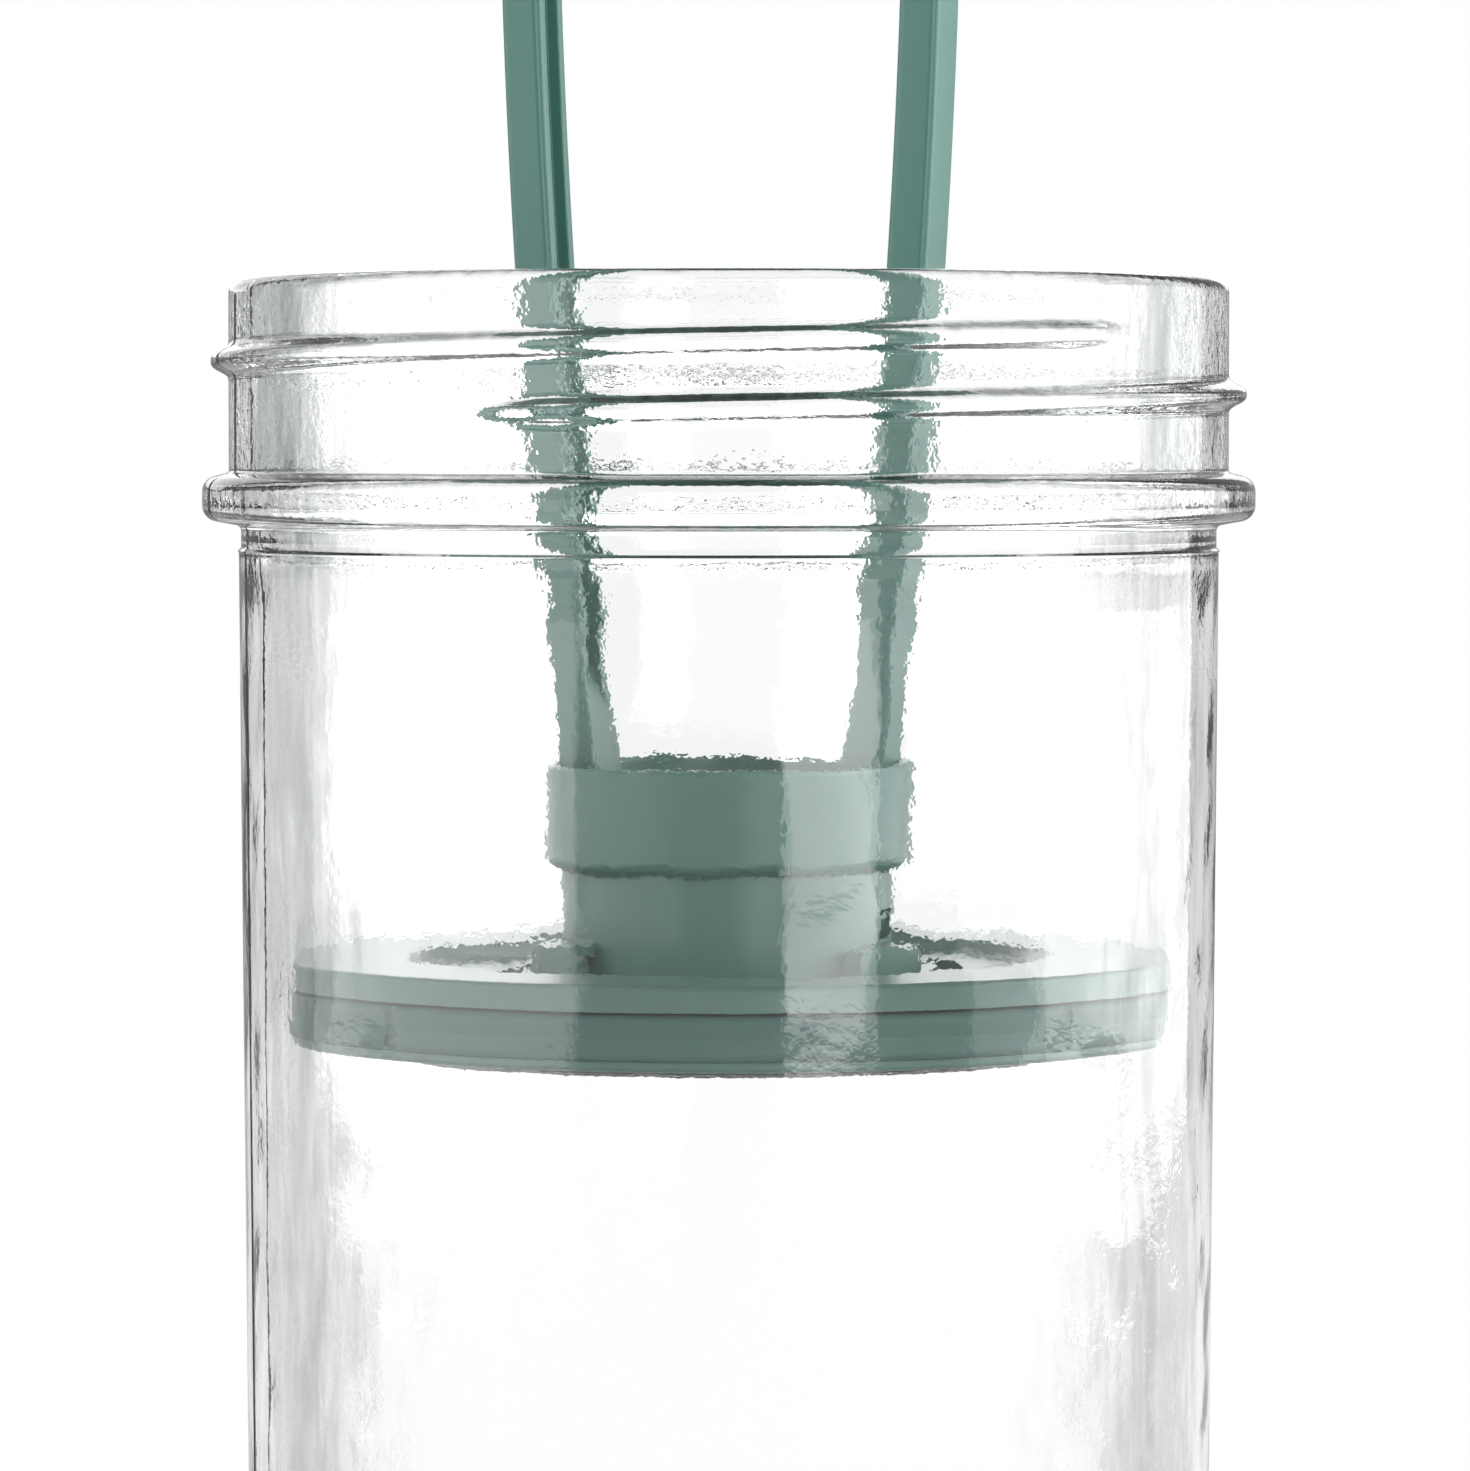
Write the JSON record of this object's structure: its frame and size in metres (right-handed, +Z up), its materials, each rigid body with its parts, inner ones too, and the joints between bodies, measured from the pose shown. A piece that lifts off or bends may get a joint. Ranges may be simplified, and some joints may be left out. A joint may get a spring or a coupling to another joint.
{
  "type": "fermentation jar",
  "caption": "Clear glass fermentation jar with a threaded neck and a sliding inner press, whose hooked collar carries a tall bail handle.",
  "frame": {"origin": "centre of the jar's foot, on the surface it stands on", "axes": "+Z up along the jar's axis; the two arms of the bail lie along X; -Y is the front"},
  "size_m": [0.1184, 0.1184, 0.255],
  "materials": {
    "jar_glass": "clear pressed glass with slight waviness",
    "sage_plastic": "satin moulded, sage green",
    "sage_silicone": "soft matte silicone, sage green",
    "clear_silicone": "translucent white silicone",
    "weight_glass": "thick pressed glass"
  },
  "bodies": {
    "jar": {"glass_jar": "jar_glass"},
    "press": {"press_cap": "sage_plastic", "press_base": "sage_plastic", "wiper_ring": "sage_silicone", "weight_gasket": "clear_silicone", "glass_weight": "weight_glass"},
    "handle": {"collar": "sage_plastic", "bail": "sage_plastic"}
  },
  "joints": [
    {"name": "press_slide", "type": "slide", "parent": "jar", "child": "press", "axis": [0, 0, 1], "range_m": [-0.093, 0.095]},
    {"name": "collar_twist", "type": "hinge", "parent": "press", "child": "handle", "pos_m": [0, 0, 0.1142], "axis": [0, 0, 1], "range_deg": [0, 30]}
  ]
}
